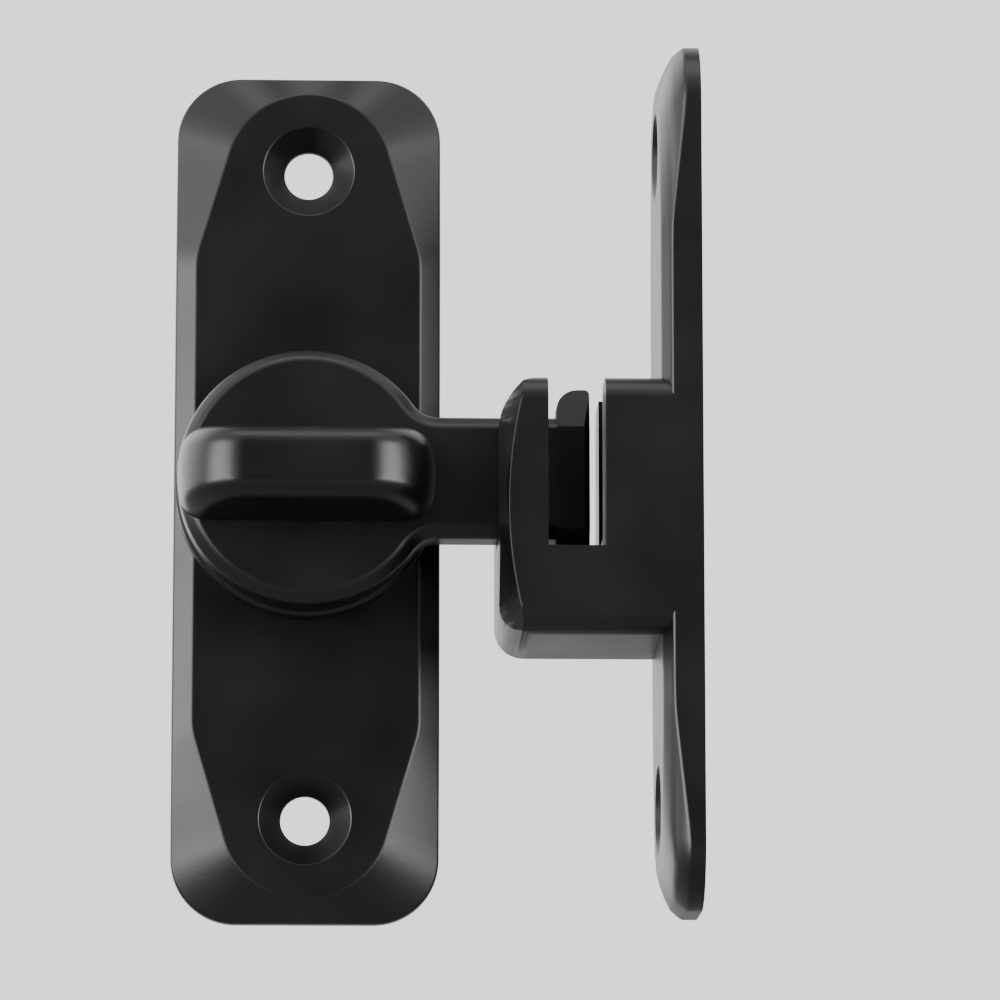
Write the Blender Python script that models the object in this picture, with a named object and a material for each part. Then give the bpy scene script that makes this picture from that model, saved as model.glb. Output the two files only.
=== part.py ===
"""Toggle bolt latch for a sliding door: base plate, turning toggle and strike.

World frame in metres: +X runs from the toggle's pivot towards the strike, +Y
runs into the door, and +Z is up.  The door's face is the plane Y = 0, and the
toggle turns about the line X = 0, Z = 0.  A distance out from the door's face,
called depth_out here, is minus Y.
"""

import math

import bmesh
import bpy
from mathutils import Matrix, Vector

MM = 0.001

# Clearances
FIT_GAP = 0.3 * MM            # between two pieces that touch or run on each other
CUT_OVERRUN = 1.0 * MM        # how far a cutter passes through the face it opens
UNION_SINK = 0.5 * MM         # how far one casting feature is sunk into the next
SAME_PLACE = 0.01 * MM        # coordinates this close count as equal
MERGE_DISTANCE = 0.001 * MM

# Plates: what the base plate and the strike have in common
PLATE_LENGTH = 97.0 * MM
PLATE_THICKNESS = 4.7 * MM    # at the raised land
PLATE_CORNER = 7.3 * MM
RIM_MIDDLE = 3.4 * MM         # height of the plate's edge along its straight sides
RIM_END = 1.7 * MM            # height of the plate's edge round its ends
LAND_KNEE = 27.0 * MM         # from the plate's centre to where the land narrows
LAND_KNEE_RADIUS = 8.0 * MM
LAND_END_INSET = 2.5 * MM     # from the land's end to the plate's end
BACK_HOLLOW_DEPTH = 1.5 * MM
BACK_HOLLOW_WALL = 2.4 * MM

# Screw holes in both plates
SCREW_END_INSET = 11.5 * MM   # from a hole's axis to the plate's end
SCREW_HOLE = 5.5 * MM
COUNTERSINK = 10.3 * MM

# Base plate and its raised seat for the hub
BASE_WIDTH = 30.0 * MM
BASE_LAND_INSET = 2.3 * MM    # from the land's side to the plate's side
BASE_LAND_NARROWING = 3.3 * MM  # land's half-width in the middle, less its end's radius
SEAT_STEP = 0.3 * MM          # how far the seat stands out round the hub
SEAT_HEIGHT = 3.6 * MM        # above the land
SEAT_CHAMFER = 0.35 * MM
SEAT_WEB = 2.6 * MM           # metal between the bush's flange and the pocket
POCKET_DIAMETER = 22.0 * MM

# Pivot: spigot on the toggle, bush, washers and screw
SPIGOT_DIAMETER = 10.0 * MM
BUSH_WALL = 0.9 * MM
BUSH_FLANGE_DIAMETER = 24.2 * MM
BUSH_FLANGE_THICKNESS = 0.9 * MM
BUSH_FLANGE_SUNK = 0.3 * MM   # how far the flange sits below the seat's rim
BACKING_WASHER_DIAMETER = 20.0 * MM
BACKING_WASHER_THICKNESS = 0.6 * MM
WAVE_WASHER_DIAMETER = 16.0 * MM
WAVE_WASHER_STRIP = 0.4 * MM
WAVE_HEIGHT = 0.2 * MM        # each wave, up and down from the middle
WAVE_COUNT = 3
KEYED_WASHER_DIAMETER = 19.0 * MM
KEYED_WASHER_THICKNESS = 1.0 * MM
KEY_DIAMETER = 8.0 * MM       # spigot's end, round with two flats
KEY_FLATS = 6.4 * MM
SCREW_DIAMETER = 4.0 * MM
SCREW_LENGTH = 7.5 * MM
SCREW_HEAD_DIAMETER = 10.4 * MM
SCREW_HEAD_HEIGHT = 1.2 * MM
SCREW_CROSS_WIDTH = 0.9 * MM
SCREW_CROSS_LENGTH = 4.6 * MM
SCREW_CROSS_DEPTH = 0.6 * MM

# Toggle casting: hub, arm with its hammer head, and thumb grip
HUB_DIAMETER = 28.8 * MM
TOGGLE_THICKNESS = 5.7 * MM
TOGGLE_CHAMFER = 1.2 * MM
ARM_HEIGHT = 13.7 * MM
ARM_REACH = 31.4 * MM         # from the pivot to the head's end
ARM_ROOT_RADIUS = 3.5 * MM
HEAD_LENGTH = 3.7 * MM
HEAD_EAR = 3.25 * MM          # how far each ear stands above or below the arm
HEAD_EAR_TIP = 2.4 * MM       # ear's thickness at its tip
HEAD_CHAMFER = 0.7 * MM
GRIP_SETBACK = 0.1 * MM       # from the hub's rim at each end
GRIP_ROOT = 10.4 * MM
GRIP_CROWN = 7.7 * MM
GRIP_HEIGHT = 9.4 * MM
GRIP_FLAT = 15.2 * MM         # straight part of the grip's crown
GRIP_EDGE_RADIUS = 1.8 * MM   # rounding from the crown into the sides

# Strike
STRIKE_FACE = 43.4 * MM       # plane of its back, from the pivot
STRIKE_WIDTH = 23.0 * MM
STRIKE_THICKNESS = 4.5 * MM
STRIKE_LAND_INSET = 2.5 * MM
STRIKE_LAND_NARROWING = 1.8 * MM
STRIKE_DROP = 0.0 * MM        # its centre, below the pivot
BOSS_START = 21.2 * MM        # from the pivot to the boss's end
BOSS_SETBACK = 0.1 * MM       # its front and rear, inside the plate's sides
BOSS_TOP = 9.9 * MM           # above the pivot
BOSS_BOTTOM = 18.7 * MM       # below the pivot
BOSS_TOP_CORNER = 4.8 * MM
BOSS_BOTTOM_CORNER = 3.8 * MM
BOSS_EDGE_RADIUS = 2.8 * MM
HEAD_SIDE_GAP = 1.3 * MM      # from the head to each side wall of the slot
CHANNEL_GAP = 1.4 * MM        # from the arm to the channel's front and rear walls
SILL_GAP = 0.4 * MM           # from the arm to the sill that it comes down on
SLOT_FLOOR_LIFT = 0.9 * MM    # slot's floor in the side walls, above the lower ear's tip
HEAD_FLOOR_GAP = 0.8 * MM     # under the lower ear
HEAD_POCKET = 4.0 * MM        # channel's length beyond the slot

# Facets
ROUND_SEGMENTS = 48
SMALL_SEGMENTS = 32
CORNER_SEGMENTS = 6
END_SEGMENTS = 10
ARCH_SEGMENTS = 9
ROOT_SEGMENTS = 4
FILLET_SEGMENTS = 3
KNEE_SEGMENTS = 2
HALVINGS = 40                 # of a line, to find where it crosses the plate's outline

# Sizes that follow from the ones above
SCREW_SPACING = PLATE_LENGTH - 2 * SCREW_END_INSET
SEAT_DIAMETER = HUB_DIAMETER + 2 * SEAT_STEP
GRIP_LENGTH = HUB_DIAMETER - 2 * GRIP_SETBACK
SEAT_TOP = PLATE_THICKNESS + SEAT_HEIGHT
FLANGE_FLOOR = SEAT_TOP - BUSH_FLANGE_SUNK - FIT_GAP
WEB_BACK = FLANGE_FLOOR - SEAT_WEB
FLANGE_BACK = FLANGE_FLOOR + FIT_GAP
HUB_BACK = FLANGE_BACK + BUSH_FLANGE_THICKNESS + FIT_GAP
TOGGLE_FACE = HUB_BACK + TOGGLE_THICKNESS
BUSH_BORE = SPIGOT_DIAMETER + 2 * FIT_GAP
BUSH_OUTSIDE = BUSH_BORE + 2 * BUSH_WALL
WEB_BORE = BUSH_OUTSIDE + 2 * FIT_GAP
BACKING_TOP = WEB_BACK - FIT_GAP
BACKING_BOTTOM = BACKING_TOP - BACKING_WASHER_THICKNESS
WAVE_MIDDLE = BACKING_BOTTOM - FIT_GAP - WAVE_HEIGHT - WAVE_WASHER_STRIP / 2
WAVE_BOTTOM = WAVE_MIDDLE - WAVE_WASHER_STRIP / 2 - WAVE_HEIGHT
KEYED_TOP = WAVE_BOTTOM - FIT_GAP
KEYED_BOTTOM = KEYED_TOP - KEYED_WASHER_THICKNESS
SPIGOT_SHOULDER = KEYED_TOP + FIT_GAP
SPIGOT_END = KEYED_BOTTOM + FIT_GAP
SCREW_SEAT = KEYED_BOTTOM - FIT_GAP
ARM_HALF = ARM_HEIGHT / 2
TOGGLE_MIDDLE = HUB_BACK + TOGGLE_THICKNESS / 2
HEAD_START = ARM_REACH - HEAD_LENGTH
HEAD_TIP = ARM_HALF + HEAD_EAR
SLOT_START = HEAD_START - HEAD_SIDE_GAP
SLOT_END = ARM_REACH + HEAD_SIDE_GAP
CHANNEL_HALF = TOGGLE_THICKNESS / 2 + CHANNEL_GAP
SILL = ARM_HALF + SILL_GAP
SLOT_FLOOR = HEAD_TIP - SLOT_FLOOR_LIFT
HEAD_FLOOR = HEAD_TIP + HEAD_FLOOR_GAP
STRIKE_LAND = STRIKE_FACE - STRIKE_THICKNESS

# Where each local plan lies: first axis, second axis, and the way out of the face
FACE_ON_DOOR = Matrix(((1, 0, 0, 0), (0, 0, -1, 0), (0, 1, 0, 0), (0, 0, 0, 1)))
FACE_ON_JAMB = Matrix(
    ((0, 0, -1, STRIKE_FACE), (-1, 0, 0, -TOGGLE_MIDDLE), (0, 1, 0, -STRIKE_DROP), (0, 0, 0, 1))
)


# ---------------------------------------------------------------- materials

def principled(name, colour, roughness, metallic):
    """Make a material from its colour, roughness and metallic value."""
    material = bpy.data.materials.new(name)
    material.use_nodes = True
    shader = material.node_tree.nodes["Principled BSDF"]
    shader.inputs["Base Color"].default_value = (*colour, 1.0)
    shader.inputs["Roughness"].default_value = roughness
    shader.inputs["Metallic"].default_value = metallic
    return material


# ------------------------------------------------------------ mesh helpers

def object_from(name, bm, material, smooth_angle=30.0):
    """Turn a bmesh into a named object, shaded smooth up to an angle in degrees."""
    bmesh.ops.recalc_face_normals(bm, faces=bm.faces)
    mesh = bpy.data.meshes.new(name)
    bm.to_mesh(mesh)
    bm.free()
    mesh.shade_smooth()
    mesh.set_sharp_from_angle(angle=math.radians(smooth_angle))
    mesh.materials.append(material)
    obj = bpy.data.objects.new(name, mesh)
    bpy.context.collection.objects.link(obj)
    return obj


def tool_from(name, bm, material):
    """Turn a bmesh into a hidden cutter or an added lump."""
    tool = object_from(name, bm, material)
    tool.hide_render = True
    tool.display_type = "WIRE"
    return tool


def combine(target, tool, operation):
    """Join the tool to the target, or cut it away, with a live Boolean."""
    modifier = target.modifiers.new(tool.name, "BOOLEAN")
    modifier.operation = operation
    modifier.object = tool
    modifier.solver = "EXACT"


def prism(outline, low, high, place):
    """Extrude a flat outline of (a, b) points from low to high, then place it."""
    bm = bmesh.new()
    base = [bm.verts.new((a, b, low)) for a, b in outline]
    face = bm.faces.new(base)
    grown = bmesh.ops.extrude_face_region(bm, geom=[face])
    top = [item for item in grown["geom"] if isinstance(item, bmesh.types.BMVert)]
    bmesh.ops.translate(bm, vec=(0, 0, high - low), verts=top)
    bmesh.ops.transform(bm, matrix=place, verts=bm.verts)
    return bm


def turned(profile, place, segments=ROUND_SEGMENTS):
    """Spin a closed or axis-to-axis profile of (radius, depth) points into a solid."""
    bm = bmesh.new()
    points = [bm.verts.new((radius, 0, depth)) for radius, depth in profile]
    on_axis = profile[0][0] == 0 and profile[-1][0] == 0
    edges = [bm.edges.new(pair) for pair in zip(points, points[1:])]
    if not on_axis:
        edges.append(bm.edges.new((points[-1], points[0])))
    bmesh.ops.spin(
        bm, geom=points + edges, cent=(0, 0, 0), axis=(0, 0, 1), angle=math.tau,
        steps=segments, use_merge=True,
    )
    bmesh.ops.remove_doubles(bm, verts=bm.verts, dist=MERGE_DISTANCE)
    bmesh.ops.transform(bm, matrix=place, verts=bm.verts)
    return bm


def box(low, high):
    """A box between two corners."""
    bm = bmesh.new()
    bmesh.ops.create_cube(bm, size=1.0)
    low, high = Vector(low), Vector(high)
    bmesh.ops.scale(bm, vec=high - low, verts=bm.verts)
    bmesh.ops.translate(bm, vec=(low + high) / 2, verts=bm.verts)
    return bm


def arc(centre, radius, start, end, steps):
    """Points on an arc, from start to end in degrees, both ends included."""
    points = []
    for step in range(steps + 1):
        angle = math.radians(start + (end - start) * step / steps)
        points.append((centre[0] + radius * math.cos(angle), centre[1] + radius * math.sin(angle)))
    return points


def ring_profile(bore, outside, low, high):
    """Section of a plain washer or sleeve."""
    return [(bore / 2, low), (outside / 2, low), (outside / 2, high), (bore / 2, high)]


def rounded_rectangle(width, length, corner, steps=CORNER_SEGMENTS):
    """Outline of a rectangle with round corners, anticlockwise."""
    across, along = width / 2 - corner, length / 2 - corner
    points = []
    for quarter, (side, end) in enumerate(((1, 1), (-1, 1), (-1, -1), (1, -1))):
        centre = (side * across, end * along)
        points += arc(centre, corner, 90 * quarter, 90 * quarter + 90, steps)
    return points


# --------------------------------------------------------- the plates' shape

def mirrored_twice(quarter):
    """Full outline from the quarter that runs from the side's middle to the end."""
    left = [(-a, b) for a, b in reversed(quarter[:-1])]
    half = quarter + left
    return half + [(a, -b) for a, b in reversed(half[1:-1])]


def land_quarter(half_width, end, end_radius):
    """A quarter of the land: straight side, knee, taper and round end."""
    centre = end - end_radius
    reach = math.hypot(half_width, LAND_KNEE - centre)
    taper = math.atan2(LAND_KNEE - centre, half_width) + math.acos(end_radius / reach)
    knee_centre = (half_width - LAND_KNEE_RADIUS, LAND_KNEE - LAND_KNEE_RADIUS * math.tan(taper / 2))
    taper_degrees = math.degrees(taper)
    points = [(half_width, 0.0)]
    points += arc(knee_centre, LAND_KNEE_RADIUS, 0, taper_degrees, KNEE_SEGMENTS)
    points += arc((0.0, centre), end_radius, taper_degrees, 90, END_SEGMENTS)
    return points


def outside_by(point, width):
    """How far a point lies outside the plate's outline, negative inside it."""
    across = abs(point[0]) - width / 2 + PLATE_CORNER
    along = abs(point[1]) - PLATE_LENGTH / 2 + PLATE_CORNER
    corner = math.hypot(max(across, 0.0), max(along, 0.0))
    return corner + min(max(across, along), 0.0) - PLATE_CORNER


def edge_beyond(point, direction, width):
    """Where a line from the land along direction leaves the plate's outline."""
    near, far = 0.0, PLATE_LENGTH
    for _ in range(HALVINGS):
        middle = (near + far) / 2
        place = (point[0] + direction[0] * middle, point[1] + direction[1] * middle)
        if outside_by(place, width) > 0:
            far = middle
        else:
            near = middle
    return (point[0] + direction[0] * near, point[1] + direction[1] * near)


def rim_height(along, end):
    """Height of the plate's edge, falling from the knee towards the end."""
    fall = (abs(along) - LAND_KNEE) / (end - PLATE_CORNER + LAND_END_INSET - LAND_KNEE)
    return RIM_MIDDLE + (RIM_END - RIM_MIDDLE) * min(max(fall, 0.0), 1.0)


def plate_body(width, thickness, land_inset, land_narrowing):
    """Solid plate: flat back, low edge, sloped border and raised land."""
    land_half = width / 2 - land_inset
    land_end = PLATE_LENGTH / 2 - LAND_END_INSET
    land = mirrored_twice(land_quarter(land_half, land_end, land_half - land_narrowing))
    count = len(land)
    edge = []
    for index, point in enumerate(land):
        before, after = Vector(land[index - 1]), Vector(land[(index + 1) % count])
        run = (after - before).normalized()
        edge.append(edge_beyond(point, (run.y, -run.x), width))
    bm = bmesh.new()
    levels = (
        [bm.verts.new((a, b, 0.0)) for a, b in edge],
        [bm.verts.new((a, b, rim_height(b, land_end))) for a, b in edge],
        [bm.verts.new((a, b, thickness)) for a, b in land],
    )
    for lower, upper in zip(levels, levels[1:]):
        for index in range(count):
            beyond = (index + 1) % count
            bm.faces.new((lower[index], lower[beyond], upper[beyond], upper[index]))
    bm.faces.new(list(reversed(levels[0])))
    bm.faces.new(levels[-1])
    return bm


def screw_hole(along, thickness, place, name, material):
    """Cutter for one countersunk screw hole through a plate."""
    sink = (COUNTERSINK - SCREW_HOLE) / 2
    top = thickness + CUT_OVERRUN
    profile = [
        (0.0, top),
        (COUNTERSINK / 2 + CUT_OVERRUN, top),
        (SCREW_HOLE / 2, thickness - sink),
        (SCREW_HOLE / 2, -CUT_OVERRUN),
        (0.0, -CUT_OVERRUN),
    ]
    bm = turned(profile, place @ Matrix.Translation((0, along, 0)), SMALL_SEGMENTS)
    return tool_from(name, bm, material)


def finish_plate(plate, name, width, thickness, place, material):
    """Cut the hollow in the back and the two screw holes."""
    hollow = rounded_rectangle(
        width - 2 * BACK_HOLLOW_WALL, PLATE_LENGTH - 2 * BACK_HOLLOW_WALL,
        PLATE_CORNER - BACK_HOLLOW_WALL,
    )
    bm = prism(hollow, -CUT_OVERRUN, BACK_HOLLOW_DEPTH, place)
    combine(plate, tool_from(name + "_hollow_cutter", bm, material), "DIFFERENCE")
    for end, along in (("upper", SCREW_SPACING / 2), ("lower", -SCREW_SPACING / 2)):
        cutter = screw_hole(along, thickness, place, f"{name}_{end}_hole_cutter", material)
        combine(plate, cutter, "DIFFERENCE")


# ------------------------------------------------------------- the pieces

def make_base_plate(material):
    """Door plate with the hub's raised seat, the bush's bore and a rear pocket."""
    bm = plate_body(BASE_WIDTH, PLATE_THICKNESS, BASE_LAND_INSET, BASE_LAND_NARROWING)
    bmesh.ops.transform(bm, matrix=FACE_ON_DOOR, verts=bm.verts)
    plate = object_from("base_plate", bm, material)
    seat = [
        (0.0, SEAT_TOP),
        (SEAT_DIAMETER / 2 - SEAT_CHAMFER, SEAT_TOP),
        (SEAT_DIAMETER / 2, SEAT_TOP - SEAT_CHAMFER),
        (SEAT_DIAMETER / 2, RIM_MIDDLE - UNION_SINK),
        (0.0, RIM_MIDDLE - UNION_SINK),
    ]
    combine(plate, tool_from("base_plate_seat", turned(seat, FACE_ON_DOOR), material), "UNION")
    finish_plate(plate, "base_plate", BASE_WIDTH, PLATE_THICKNESS, FACE_ON_DOOR, material)
    bore = [
        (0.0, SEAT_TOP + CUT_OVERRUN),
        (BUSH_FLANGE_DIAMETER / 2 + FIT_GAP, SEAT_TOP + CUT_OVERRUN),
        (BUSH_FLANGE_DIAMETER / 2 + FIT_GAP, FLANGE_FLOOR),
        (WEB_BORE / 2, FLANGE_FLOOR),
        (WEB_BORE / 2, WEB_BACK),
        (POCKET_DIAMETER / 2, WEB_BACK),
        (POCKET_DIAMETER / 2, -CUT_OVERRUN),
        (0.0, -CUT_OVERRUN),
    ]
    combine(plate, tool_from("base_plate_bore_cutter", turned(bore, FACE_ON_DOOR), material), "DIFFERENCE")
    return plate


def make_pivot_bush(material):
    """Flanged acetal bush: the flange is the face that the hub runs on."""
    flange_top = FLANGE_BACK + BUSH_FLANGE_THICKNESS
    profile = [
        (BUSH_BORE / 2, WEB_BACK),
        (BUSH_OUTSIDE / 2, WEB_BACK),
        (BUSH_OUTSIDE / 2, FLANGE_BACK),
        (BUSH_FLANGE_DIAMETER / 2, FLANGE_BACK),
        (BUSH_FLANGE_DIAMETER / 2, flange_top),
        (BUSH_BORE / 2, flange_top),
    ]
    return object_from("pivot_bush", turned(profile, FACE_ON_DOOR), material)


def make_backing_washer(material):
    """Plain washer behind the web, which the wave washer bears on."""
    profile = ring_profile(BUSH_BORE, BACKING_WASHER_DIAMETER, BACKING_BOTTOM, BACKING_TOP)
    return object_from("backing_washer", turned(profile, FACE_ON_DOOR), material)


def make_wave_washer(material):
    """Spring washer bent into waves, which gives the toggle its drag."""
    low = WAVE_MIDDLE - WAVE_WASHER_STRIP / 2
    high = WAVE_MIDDLE + WAVE_WASHER_STRIP / 2
    bm = turned(ring_profile(BUSH_BORE, WAVE_WASHER_DIAMETER, low, high), FACE_ON_DOOR)
    for vert in bm.verts:
        turn = math.atan2(vert.co.z, vert.co.x)
        vert.co.y += WAVE_HEIGHT * math.cos(WAVE_COUNT * turn)
    return object_from("wave_washer", bm, material)


def key_outline(gap):
    """Round with two flats: the spigot's end, or the hole that fits over it."""
    radius, flat = KEY_DIAMETER / 2 + gap, KEY_FLATS / 2 + gap
    corner = math.degrees(math.asin(flat / radius))
    right = arc((0, 0), radius, -corner, corner, END_SEGMENTS)
    left = arc((0, 0), radius, 180 - corner, 180 + corner, END_SEGMENTS)
    return right + left


def make_keyed_washer(material):
    """Washer with a double-D hole, so that it turns with the toggle."""
    outline = arc((0, 0), KEYED_WASHER_DIAMETER / 2, 0, 360, ROUND_SEGMENTS)[:-1]
    washer = object_from(
        "keyed_washer", prism(outline, KEYED_BOTTOM, KEYED_TOP, FACE_ON_DOOR), material,
    )
    low, high = KEYED_BOTTOM - CUT_OVERRUN, KEYED_TOP + CUT_OVERRUN
    cutter = tool_from("keyed_washer_cutter", prism(key_outline(FIT_GAP), low, high, FACE_ON_DOOR), material)
    combine(washer, cutter, "DIFFERENCE")
    return washer


def make_retaining_screw(material):
    """Low-headed screw that holds the toggle, with a cross recess."""
    head = SCREW_HEAD_DIAMETER / 2
    low = SCREW_SEAT - SCREW_HEAD_HEIGHT
    profile = [(0.0, SCREW_SEAT + SCREW_LENGTH), (SCREW_DIAMETER / 2, SCREW_SEAT + SCREW_LENGTH)]
    profile += [(SCREW_DIAMETER / 2, SCREW_SEAT), (head, SCREW_SEAT)]
    profile += [(head, low + SCREW_HEAD_HEIGHT / 2), (head - SCREW_HEAD_HEIGHT / 2, low), (0.0, low)]
    screw = object_from("retaining_screw", turned(profile, FACE_ON_DOOR, SMALL_SEGMENTS), material)
    half_width, half_length = SCREW_CROSS_WIDTH / 2, SCREW_CROSS_LENGTH / 2
    cross = [(half_length, -half_width), (half_length, half_width), (half_width, half_width)]
    cross += [(half_width, half_length), (-half_width, half_length), (-half_width, half_width)]
    cross += [(-a, -b) for a, b in cross]
    bm = prism(cross, low - CUT_OVERRUN, low + SCREW_CROSS_DEPTH, FACE_ON_DOOR)
    combine(screw, tool_from("retaining_screw_cutter", bm, material), "DIFFERENCE")
    return screw


def toggle_outline():
    """Hub and arm seen from the front, anticlockwise from the arm's lower end."""
    radius, root = HUB_DIAMETER / 2, ARM_ROOT_RADIUS
    above = ARM_HALF + root
    meets = math.degrees(math.asin(above / (radius + root)))
    fillet_at = (radius + root) * math.cos(math.radians(meets))
    points = [(ARM_REACH, -ARM_HALF), (ARM_REACH, ARM_HALF)]
    points += arc((fillet_at, above), root, 270, 180 + meets, ROOT_SEGMENTS)
    points += arc((0, 0), radius, meets, 360 - meets, ROUND_SEGMENTS)[1:-1]
    points += arc((fillet_at, -above), root, 180 - meets, 90, ROOT_SEGMENTS)
    return points


def bevel_edges(bm, chosen, width, segments):
    """Chamfer or round the edges for which chosen(edge) is true."""
    edges = [edge for edge in bm.edges if chosen(edge)]
    bmesh.ops.bevel(
        bm, geom=edges, offset=width, offset_type="OFFSET", segments=segments,
        profile=0.5, affect="EDGES", material=-1,
    )
    bmesh.ops.triangulate(bm, faces=[face for face in bm.faces if len(face.verts) > 4])


def on_front(edge, depth_out):
    """Whether both ends of an edge lie at a distance out from the door."""
    return all(abs(vert.co.y + depth_out) < SAME_PLACE for vert in edge.verts)


def head_body():
    """Hammer head across the arm's end, its ears thinner towards their tips."""
    half, tip = TOGGLE_THICKNESS / 2, HEAD_EAR_TIP / 2
    shoulder = ARM_HALF - TOGGLE_CHAMFER
    outline = [(half, -shoulder), (half, shoulder), (tip, HEAD_TIP), (-tip, HEAD_TIP)]
    outline += [(-a, -b) for a, b in outline]
    along_arm = Matrix(((0, 0, 1, 0), (-1, 0, 0, -TOGGLE_MIDDLE), (0, 1, 0, 0), (0, 0, 0, 1)))
    bm = prism(outline, HEAD_START, ARM_REACH, along_arm)

    def end_rim(edge):
        """Edges round the head's outer end."""
        return all(abs(vert.co.x - ARM_REACH) < SAME_PLACE for vert in edge.verts)

    bevel_edges(bm, end_rim, HEAD_CHAMFER, KNEE_SEGMENTS)
    return bm


def grip_body():
    """Thumb grip: a drafted bar with soft edges, its arched ends following the hub's rim."""
    half_length, half_flat = GRIP_LENGTH / 2, GRIP_FLAT / 2
    shoulder = half_length - half_flat
    arch = []
    for step in range(ARCH_SEGMENTS + 1):
        turn = math.tau / 4 * step / ARCH_SEGMENTS
        arch.append((half_flat + shoulder * math.cos(turn), GRIP_HEIGHT * math.sin(turn)))
    outline = [(half_length, -TOGGLE_CHAMFER)] + arch
    outline += [(-a, b) for a, b in reversed(outline)]
    upright = Matrix(((1, 0, 0, 0), (0, -1, 0, -TOGGLE_FACE), (0, 0, -1, 0), (0, 0, 0, 1)))
    bm = prism(outline, -GRIP_ROOT / 2, GRIP_ROOT / 2, upright)

    def side_rim(edge):
        """Edges round both flat sides, except along the foot."""
        first, second = (vert.co for vert in edge.verts)
        foot = max(-first.y, -second.y) < TOGGLE_FACE - TOGGLE_CHAMFER / 2
        return not foot and abs(first.z - second.z) < SAME_PLACE

    bevel_edges(bm, side_rim, GRIP_EDGE_RADIUS, FILLET_SEGMENTS)
    for vert in bm.verts:
        rise = (-vert.co.y - TOGGLE_FACE) / GRIP_HEIGHT
        vert.co.z *= 1 + (GRIP_CROWN / GRIP_ROOT - 1) * rise
        beyond_flat = max(abs(vert.co.x) - half_flat, 0.0) / shoulder
        rim_falls_back = half_length - math.sqrt(half_length ** 2 - vert.co.z ** 2)
        vert.co.x -= math.copysign(beyond_flat * rim_falls_back, vert.co.x)
    return bm


def make_toggle(material):
    """The turning casting: hub, arm, hammer head, thumb grip and spigot."""
    bm = prism(toggle_outline(), HUB_BACK, TOGGLE_FACE, FACE_ON_DOOR)
    bevel_edges(bm, lambda edge: on_front(edge, TOGGLE_FACE), TOGGLE_CHAMFER, 1)
    toggle = object_from("toggle", bm, material)
    combine(toggle, tool_from("toggle_head", head_body(), material), "UNION")
    combine(toggle, tool_from("toggle_grip", grip_body(), material), "UNION")
    spigot = [
        (0.0, HUB_BACK + UNION_SINK),
        (SPIGOT_DIAMETER / 2, HUB_BACK + UNION_SINK),
        (SPIGOT_DIAMETER / 2, SPIGOT_SHOULDER),
        (0.0, SPIGOT_SHOULDER),
    ]
    combine(toggle, tool_from("toggle_spigot", turned(spigot, FACE_ON_DOOR), material), "UNION")
    key = prism(key_outline(0.0), SPIGOT_END, SPIGOT_SHOULDER + UNION_SINK, FACE_ON_DOOR)
    combine(toggle, tool_from("toggle_key", key, material), "UNION")
    hole_end = SCREW_SEAT + SCREW_LENGTH + FIT_GAP
    hole = [(0.0, hole_end), (SCREW_DIAMETER / 2 + FIT_GAP, hole_end)]
    hole += [(SCREW_DIAMETER / 2 + FIT_GAP, SPIGOT_END - CUT_OVERRUN), (0.0, SPIGOT_END - CUT_OVERRUN)]
    bm = turned(hole, FACE_ON_DOOR, SMALL_SEGMENTS)
    combine(toggle, tool_from("toggle_screw_cutter", bm, material), "DIFFERENCE")
    return toggle


def boss_outline():
    """Strike's boss from the front: round free corners, and sunk past the plate's slope."""
    wall = STRIKE_FACE - BACK_HOLLOW_DEPTH - UNION_SINK
    points = [(wall, -BOSS_BOTTOM)]
    corner = BOSS_BOTTOM_CORNER
    points += arc((BOSS_START + corner, -BOSS_BOTTOM + corner), corner, 270, 180, CORNER_SEGMENTS)
    corner = BOSS_TOP_CORNER
    points += arc((BOSS_START + corner, BOSS_TOP - corner), corner, 180, 90, CORNER_SEGMENTS)
    points.append((wall, BOSS_TOP))
    return list(reversed(points))


def make_strike(material):
    """Jamb plate with the boss whose slot and channel take the toggle's head."""
    bm = plate_body(STRIKE_WIDTH, STRIKE_THICKNESS, STRIKE_LAND_INSET, STRIKE_LAND_NARROWING)
    bmesh.ops.transform(bm, matrix=FACE_ON_JAMB, verts=bm.verts)
    strike = object_from("strike_plate", bm, material)
    near = TOGGLE_MIDDLE + STRIKE_WIDTH / 2 - BOSS_SETBACK
    far = TOGGLE_MIDDLE - STRIKE_WIDTH / 2 + BOSS_SETBACK
    bm = prism(boss_outline(), far, near, FACE_ON_DOOR)

    def outer_rim(edge):
        """Front and rear edges of the boss, except inside the plate."""
        sunk = all(vert.co.x > STRIKE_LAND + UNION_SINK for vert in edge.verts)
        return not sunk and (on_front(edge, near) or on_front(edge, far))

    bevel_edges(bm, outer_rim, BOSS_EDGE_RADIUS, FILLET_SEGMENTS)
    combine(strike, tool_from("strike_boss", bm, material), "UNION")
    finish_plate(strike, "strike", STRIKE_WIDTH, STRIKE_THICKNESS, FACE_ON_JAMB, material)
    above = BOSS_TOP + CUT_OVERRUN
    front, rear = -TOGGLE_MIDDLE - CHANNEL_HALF, -TOGGLE_MIDDLE + CHANNEL_HALF
    cuts = {
        "strike_channel_cutter": (
            (BOSS_START - CUT_OVERRUN, front, -SILL), (SLOT_END + HEAD_POCKET, rear, above),
        ),
        "strike_head_cutter": ((SLOT_START, front, -HEAD_FLOOR), (SLOT_END, rear, above)),
        "strike_slot_cutter": (
            (SLOT_START, -near - CUT_OVERRUN, -SLOT_FLOOR), (SLOT_END, CUT_OVERRUN - far, above),
        ),
    }
    for name, (low, high) in cuts.items():
        combine(strike, tool_from(name, box(low, high), material), "DIFFERENCE")
    return strike


# ------------------------------------------------------------------- model

def clear_scene():
    """Remove whatever the open file holds."""
    for obj in list(bpy.data.objects):
        bpy.data.objects.remove(obj, do_unlink=True)


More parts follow.
